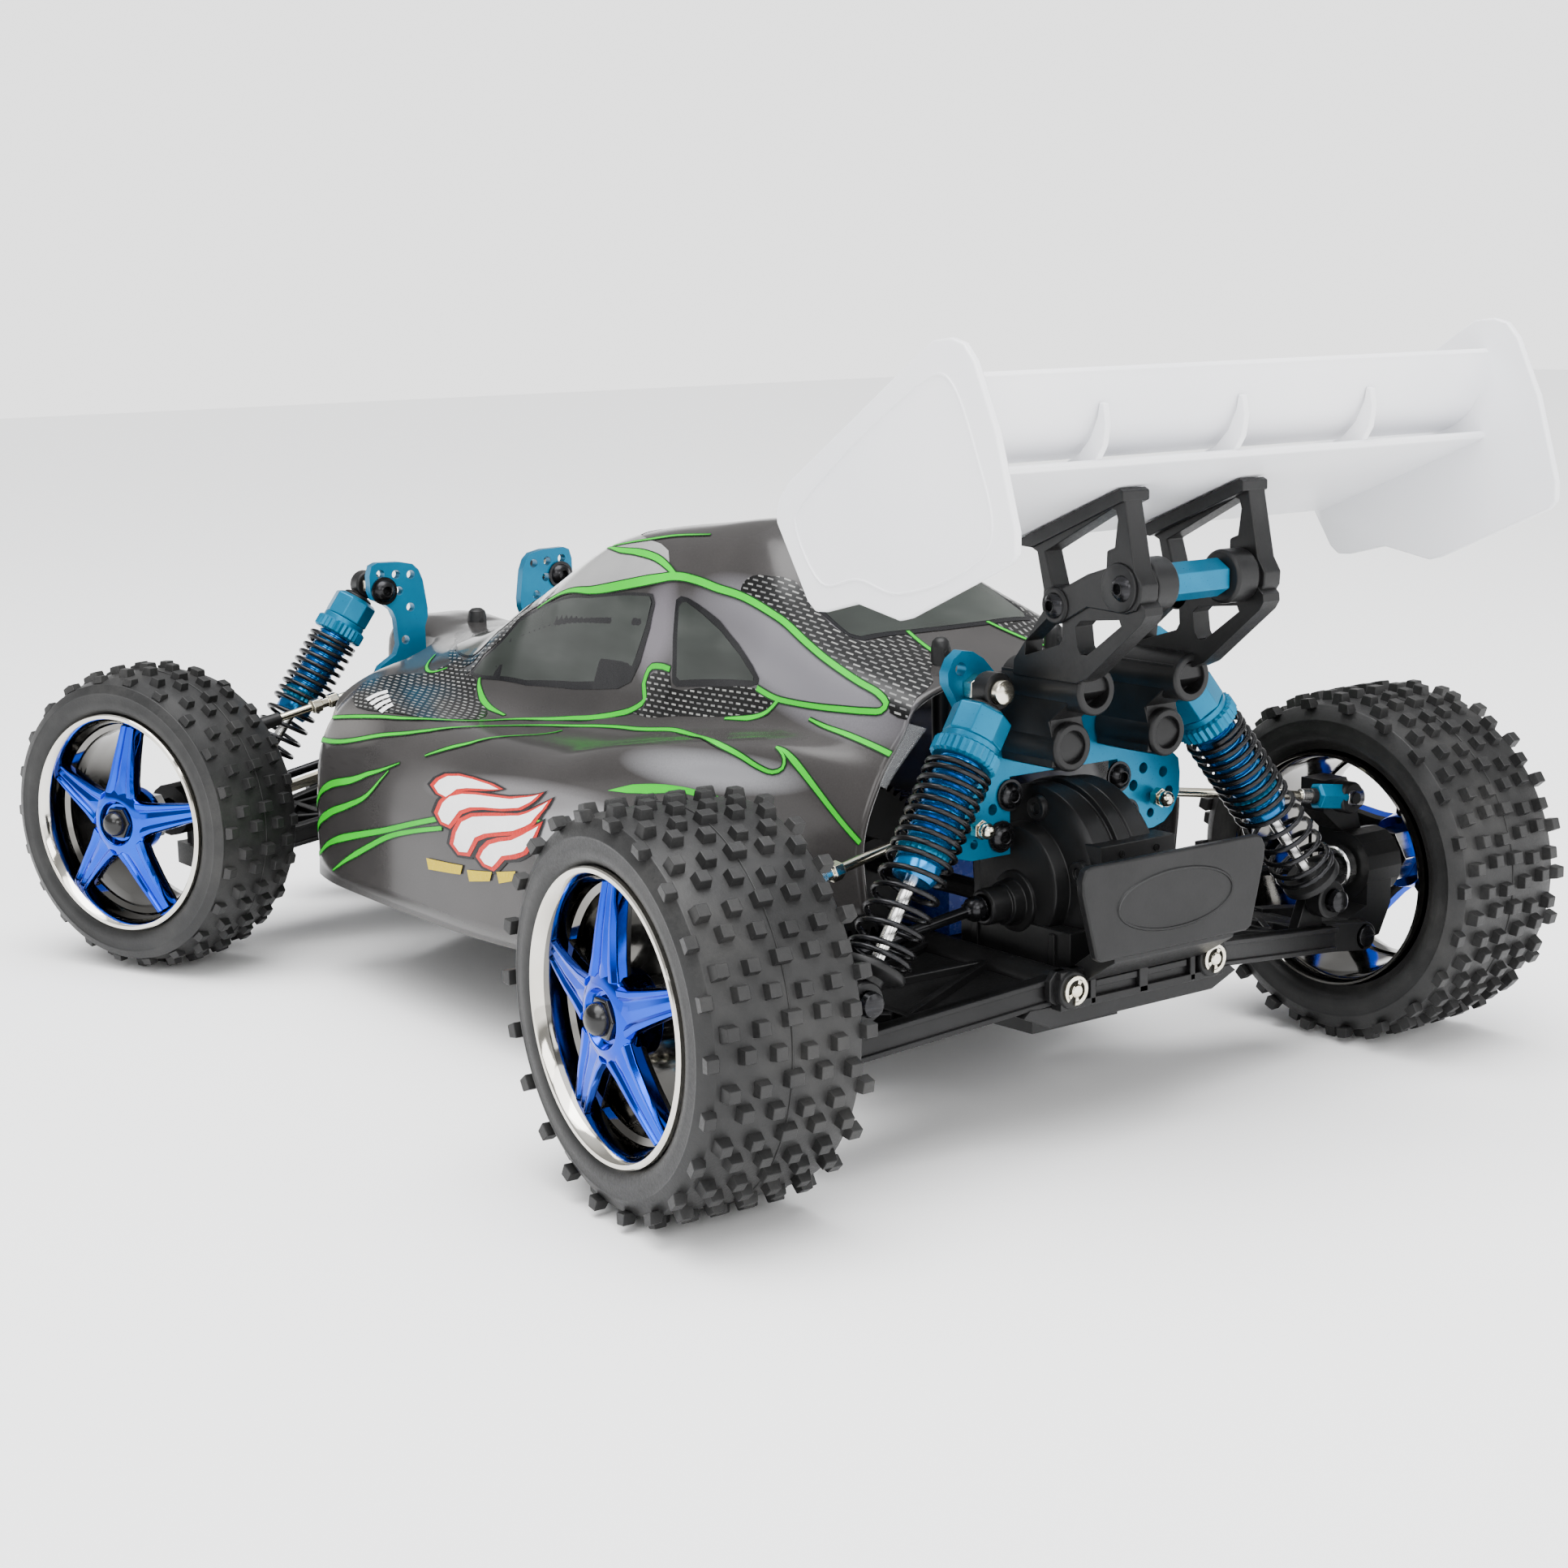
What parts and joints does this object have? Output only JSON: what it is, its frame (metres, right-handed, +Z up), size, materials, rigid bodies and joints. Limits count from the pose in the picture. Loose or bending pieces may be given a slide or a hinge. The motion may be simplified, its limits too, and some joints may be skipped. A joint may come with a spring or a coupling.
{
  "type": "radio controlled off-road buggy",
  "caption": "Four-wheel-drive electric off-road buggy with independent suspension, coil-over shocks, steered front wheels and a rear wing.",
  "frame": {"origin": "on the ground, below the middle of the overall length and width", "axes": "+X to the front of the car, +Y to its left, +Z up; the front wheels are steered to the left lock at rest"},
  "size_m": [0.3984, 0.2712, 0.177],
  "materials": {
    "tyre": "matte moulded rubber with square knobs",
    "wheel": "bright chrome barrel and ring, metallic blue star spokes",
    "moulded": "satin black moulded nylon",
    "blue_aluminium": "bright blue anodised",
    "steel": "bright steel",
    "dark_steel": "blackened steel",
    "shell": "charcoal and silver paint under clear polycarbonate, green lines",
    "wing": "white moulded nylon, soft gloss",
    "battery": "blue shrink wrap",
    "motor": "zinc plated can",
    "gear": "black nylon gear on a steel shaft"
  },
  "bodies": {
    "root": {"chassis": "moulded", "front_bumper": "moulded", "front_gearbox": "moulded", "rear_gearbox": "moulded", "rear_bumper": "moulded", "front_shock_tower": "blue_aluminium", "rear_shock_tower": "blue_aluminium", "wing_mount_left": "moulded", "wing_mount_right": "moulded", "wing_spacer": "blue_aluminium", "wing": "wing", "body_shell": "shell", "motor": "motor", "battery_pack": "battery", "speed_control": "moulded", "steering_servo": "moulded"},
    "front_left_arm": {"front_left_lower_arm": "moulded"},
    "front_left_hub": {"front_left_hub_carrier": "moulded"},
    "front_left_link": {"front_left_camber_link": "steel"},
    "front_left_half_shaft": {"front_left_drive_shaft": "dark_steel"},
    "front_left_damper": {"front_left_shock_body": "blue_aluminium", "front_left_spring": "dark_steel"},
    "front_left_piston": {"front_left_shock_shaft": "steel"},
    "front_left_knuckle": {"front_left_steering_knuckle": "moulded"},
    "front_left_wheel": {"front_left_tyre": "tyre", "front_left_rim": "wheel"},
    "front_right_arm": {"front_right_lower_arm": "moulded"},
    "front_right_hub": {"front_right_hub_carrier": "moulded"},
    "front_right_link": {"front_right_camber_link": "steel"},
    "front_right_half_shaft": {"front_right_drive_shaft": "dark_steel"},
    "front_right_damper": {"front_right_shock_body": "blue_aluminium", "front_right_spring": "dark_steel"},
    "front_right_piston": {"front_right_shock_shaft": "steel"},
    "front_right_knuckle": {"front_right_steering_knuckle": "moulded"},
    "front_right_wheel": {"front_right_tyre": "tyre", "front_right_rim": "wheel"},
    "rear_left_arm": {"rear_left_lower_arm": "moulded"},
    "rear_left_hub": {"rear_left_hub_carrier": "moulded"},
    "rear_left_link": {"rear_left_camber_link": "steel"},
    "rear_left_half_shaft": {"rear_left_drive_shaft": "dark_steel"},
    "rear_left_damper": {"rear_left_shock_body": "blue_aluminium", "rear_left_spring": "dark_steel"},
    "rear_left_piston": {"rear_left_shock_shaft": "steel"},
    "rear_left_wheel": {"rear_left_tyre": "tyre", "rear_left_rim": "wheel"},
    "rear_right_arm": {"rear_right_lower_arm": "moulded"},
    "rear_right_hub": {"rear_right_hub_carrier": "moulded"},
    "rear_right_link": {"rear_right_camber_link": "steel"},
    "rear_right_half_shaft": {"rear_right_drive_shaft": "dark_steel"},
    "rear_right_damper": {"rear_right_shock_body": "blue_aluminium", "rear_right_spring": "dark_steel"},
    "rear_right_piston": {"rear_right_shock_shaft": "steel"},
    "rear_right_wheel": {"rear_right_tyre": "tyre", "rear_right_rim": "wheel"},
    "saver": {"servo_saver": "moulded"},
    "steering_link": {"drag_link": "steel"},
    "left_tie": {"tie_rod_left": "steel"},
    "right_tie": {"tie_rod_right": "steel"},
    "spur": {"spur_gear": "gear"},
    "motor_pinion": {"pinion": "steel"}
  },
  "joints": [
    {"name": "front_left_suspension", "type": "hinge", "parent": "root", "child": "front_left_arm", "pos_m": [0.14878, 0.0209, 0.0415], "axis": [1, 0, 0], "range_deg": [-10, 12], "stiffness_Nm_per_rad": 2.2, "springref_deg": -6.88},
    {"name": "front_left_hub_pivot", "type": "hinge", "parent": "front_left_arm", "child": "front_left_hub", "pos_m": [0.14878, 0.0869, 0.0285], "axis": [1, 0, 0], "range_deg": [-12, 10]},
    {"name": "front_left_link_pivot", "type": "hinge", "parent": "root", "child": "front_left_link", "pos_m": [0.13728, 0.029, 0.0755], "axis": [1, 0, 0], "range_deg": [-12.87, 15.44]},
    {"name": "front_left_half_shaft_pivot", "type": "hinge", "parent": "root", "child": "front_left_half_shaft", "pos_m": [0.14878, 0.026, 0.0552], "axis": [1, 0, 0], "range_deg": [-11.81, 14.17]},
    {"name": "front_left_damper_pivot", "type": "hinge", "parent": "root", "child": "front_left_damper", "pos_m": [0.15428, 0.0305, 0.102], "axis": [1, 0, 0], "range_deg": [-3.91, 4.7]},
    {"name": "front_left_damper_stroke", "type": "slide", "parent": "front_left_damper", "child": "front_left_piston", "axis": [0.0811, 0.5606, -0.8241], "range_m": [-0.00887, 0.00739], "deforming": ["front_left_spring"]},
    {"name": "front_left_steer", "type": "hinge", "parent": "front_left_hub", "child": "front_left_knuckle", "pos_m": [0.14878, 0.09, 0.0435], "axis": [0, 0, 1], "range_deg": [-45.8, 0]},
    {"name": "front_left_spin", "type": "hinge", "parent": "front_left_knuckle", "child": "front_left_wheel", "pos_m": [0.14878, 0.09, 0.0435], "axis": [-0.3891, 0.9212, 0], "continuous": true},
    {"name": "front_right_suspension", "type": "hinge", "parent": "root", "child": "front_right_arm", "pos_m": [0.14878, -0.0209, 0.0415], "axis": [-1, 0, 0], "range_deg": [-10, 12], "stiffness_Nm_per_rad": 2.2, "springref_deg": -6.88},
    {"name": "front_right_hub_pivot", "type": "hinge", "parent": "front_right_arm", "child": "front_right_hub", "pos_m": [0.14878, -0.0869, 0.0285], "axis": [-1, 0, 0], "range_deg": [-12, 10]},
    {"name": "front_right_link_pivot", "type": "hinge", "parent": "root", "child": "front_right_link", "pos_m": [0.13728, -0.029, 0.0755], "axis": [-1, 0, 0], "range_deg": [-12.87, 15.44]},
    {"name": "front_right_half_shaft_pivot", "type": "hinge", "parent": "root", "child": "front_right_half_shaft", "pos_m": [0.14878, -0.026, 0.0552], "axis": [-1, 0, 0], "range_deg": [-11.81, 14.17]},
    {"name": "front_right_damper_pivot", "type": "hinge", "parent": "root", "child": "front_right_damper", "pos_m": [0.15428, -0.0305, 0.102], "axis": [-1, 0, 0], "range_deg": [-3.91, 4.7]},
    {"name": "front_right_damper_stroke", "type": "slide", "parent": "front_right_damper", "child": "front_right_piston", "axis": [0.0811, -0.5606, -0.8241], "range_m": [-0.00887, 0.00739], "deforming": ["front_right_spring"]},
    {"name": "front_right_steer", "type": "hinge", "parent": "front_right_hub", "child": "front_right_knuckle", "pos_m": [0.14878, -0.09, 0.0435], "axis": [0, 0, 1], "range_deg": [-45.8, 0]},
    {"name": "front_right_spin", "type": "hinge", "parent": "front_right_knuckle", "child": "front_right_wheel", "pos_m": [0.14878, -0.09, 0.0435], "axis": [-0.3891, 0.9212, 0], "continuous": true},
    {"name": "rear_left_suspension", "type": "hinge", "parent": "root", "child": "rear_left_arm", "pos_m": [-0.12622, 0.0209, 0.0369], "axis": [1, 0, 0], "range_deg": [-10, 12], "stiffness_Nm_per_rad": 2.2, "springref_deg": -6.88},
    {"name": "rear_left_hub_pivot", "type": "hinge", "parent": "rear_left_arm", "child": "rear_left_hub", "pos_m": [-0.12622, 0.0869, 0.0285], "axis": [1, 0, 0], "range_deg": [-12, 10]},
    {"name": "rear_left_link_pivot", "type": "hinge", "parent": "root", "child": "rear_left_link", "pos_m": [-0.11772, 0.027, 0.0695], "axis": [1, 0, 0], "range_deg": [-10.47, 12.56]},
    {"name": "rear_left_half_shaft_pivot", "type": "hinge", "parent": "root", "child": "rear_left_half_shaft", "pos_m": [-0.12622, 0.0265, 0.0511], "axis": [1, 0, 0], "range_deg": [-11.42, 13.7]},
    {"name": "rear_left_damper_pivot", "type": "hinge", "parent": "root", "child": "rear_left_damper", "pos_m": [-0.13272, 0.0265, 0.1005], "axis": [1, 0, 0], "range_deg": [-3.43, 4.11]},
    {"name": "rear_left_damper_stroke", "type": "slide", "parent": "rear_left_damper", "child": "rear_left_piston", "axis": [-0.1079, 0.5867, -0.8026], "range_m": [-0.0089, 0.00742], "deforming": ["rear_left_spring"]},
    {"name": "rear_left_spin", "type": "hinge", "parent": "rear_left_hub", "child": "rear_left_wheel", "pos_m": [-0.12622, 0.09, 0.0435], "axis": [0.0506, 0.9987, 0], "continuous": true},
    {"name": "rear_right_suspension", "type": "hinge", "parent": "root", "child": "rear_right_arm", "pos_m": [-0.12622, -0.0209, 0.0369], "axis": [-1, 0, 0], "range_deg": [-10, 12], "stiffness_Nm_per_rad": 2.2, "springref_deg": -6.88},
    {"name": "rear_right_hub_pivot", "type": "hinge", "parent": "rear_right_arm", "child": "rear_right_hub", "pos_m": [-0.12622, -0.0869, 0.0285], "axis": [-1, 0, 0], "range_deg": [-12, 10]},
    {"name": "rear_right_link_pivot", "type": "hinge", "parent": "root", "child": "rear_right_link", "pos_m": [-0.11772, -0.027, 0.0695], "axis": [-1, 0, 0], "range_deg": [-10.47, 12.56]},
    {"name": "rear_right_half_shaft_pivot", "type": "hinge", "parent": "root", "child": "rear_right_half_shaft", "pos_m": [-0.12622, -0.0265, 0.0511], "axis": [-1, 0, 0], "range_deg": [-11.42, 13.7]},
    {"name": "rear_right_damper_pivot", "type": "hinge", "parent": "root", "child": "rear_right_damper", "pos_m": [-0.13272, -0.0265, 0.1005], "axis": [-1, 0, 0], "range_deg": [-3.43, 4.11]},
    {"name": "rear_right_damper_stroke", "type": "slide", "parent": "rear_right_damper", "child": "rear_right_piston", "axis": [-0.1079, -0.5867, -0.8026], "range_m": [-0.0089, 0.00742], "deforming": ["rear_right_spring"]},
    {"name": "rear_right_spin", "type": "hinge", "parent": "rear_right_hub", "child": "rear_right_wheel", "pos_m": [-0.12622, -0.09, 0.0435], "axis": [-0.0506, 0.9987, 0], "continuous": true},
    {"name": "drag_link_slide", "type": "slide", "parent": "root", "child": "steering_link", "axis": [0, 1, 0], "range_m": [0, 0.01867]},
    {"name": "servo_saver_turn", "type": "hinge", "parent": "root", "child": "saver", "pos_m": [0.10728, 0.022, 0.0523], "axis": [0, 0, 1], "range_deg": [0, 51.4]},
    {"name": "tie_rod_left_pivot", "type": "hinge", "parent": "steering_link", "child": "left_tie", "pos_m": [0.12668, 0.01266, 0.0605], "axis": [1, 0, 0], "range_deg": [-10, 12]},
    {"name": "tie_rod_right_pivot", "type": "hinge", "parent": "steering_link", "child": "right_tie", "pos_m": [0.12668, -0.03134, 0.0605], "axis": [-1, 0, 0], "range_deg": [-10, 12]},
    {"name": "spur_gear_spin", "type": "hinge", "parent": "root", "child": "spur", "pos_m": [0.01128, 0, 0.046], "axis": [1, 0, 0], "continuous": true},
    {"name": "pinion_spin", "type": "hinge", "parent": "root", "child": "motor_pinion", "pos_m": [-0.04272, 0.02467, 0.0435], "axis": [1, 0, 0], "continuous": true}
  ],
  "couplings": [
    {"joint": "front_left_hub_pivot", "follows": "front_left_suspension", "ratio": -1},
    {"joint": "front_left_link_pivot", "follows": "front_left_suspension", "ratio": 1.287},
    {"joint": "front_left_half_shaft_pivot", "follows": "front_left_suspension", "ratio": 1.181},
    {"joint": "front_left_damper_pivot", "follows": "front_left_suspension", "ratio": 0.39142},
    {"joint": "front_left_damper_stroke", "follows": "front_left_suspension", "m_per_rad": -0.042344},
    {"joint": "front_left_spin", "follows": "rear_left_spin", "ratio": 1},
    {"joint": "front_right_hub_pivot", "follows": "front_right_suspension", "ratio": -1},
    {"joint": "front_right_link_pivot", "follows": "front_right_suspension", "ratio": 1.287},
    {"joint": "front_right_half_shaft_pivot", "follows": "front_right_suspension", "ratio": 1.181},
    {"joint": "front_right_damper_pivot", "follows": "front_right_suspension", "ratio": 0.39142},
    {"joint": "front_right_damper_stroke", "follows": "front_right_suspension", "m_per_rad": -0.042344},
    {"joint": "front_right_steer", "follows": "front_left_steer", "ratio": 1},
    {"joint": "front_right_spin", "follows": "rear_left_spin", "ratio": 1},
    {"joint": "rear_left_hub_pivot", "follows": "rear_left_suspension", "ratio": -1},
    {"joint": "rear_left_link_pivot", "follows": "rear_left_suspension", "ratio": 1.047},
    {"joint": "rear_left_half_shaft_pivot", "follows": "rear_left_suspension", "ratio": 1.142},
    {"joint": "rear_left_damper_pivot", "follows": "rear_left_suspension", "ratio": 0.3429},
    {"joint": "rear_left_damper_stroke", "follows": "rear_left_suspension", "m_per_rad": -0.042511},
    {"joint": "rear_right_hub_pivot", "follows": "rear_right_suspension", "ratio": -1},
    {"joint": "rear_right_link_pivot", "follows": "rear_right_suspension", "ratio": 1.047},
    {"joint": "rear_right_half_shaft_pivot", "follows": "rear_right_suspension", "ratio": 1.142},
    {"joint": "rear_right_damper_pivot", "follows": "rear_right_suspension", "ratio": 0.3429},
    {"joint": "rear_right_damper_stroke", "follows": "rear_right_suspension", "m_per_rad": -0.042511},
    {"joint": "rear_right_spin", "follows": "rear_left_spin", "ratio": 1},
    {"joint": "drag_link_slide", "follows": "front_left_steer", "m_per_rad": -0.02336},
    {"joint": "servo_saver_turn", "follows": "front_left_steer", "ratio": -1.122},
    {"joint": "tie_rod_left_pivot", "follows": "front_left_suspension", "ratio": 1},
    {"joint": "tie_rod_right_pivot", "follows": "front_right_suspension", "ratio": 1},
    {"joint": "spur_gear_spin", "follows": "rear_left_spin", "ratio": 3},
    {"joint": "pinion_spin", "follows": "rear_left_spin", "ratio": -10.286}
  ]
}
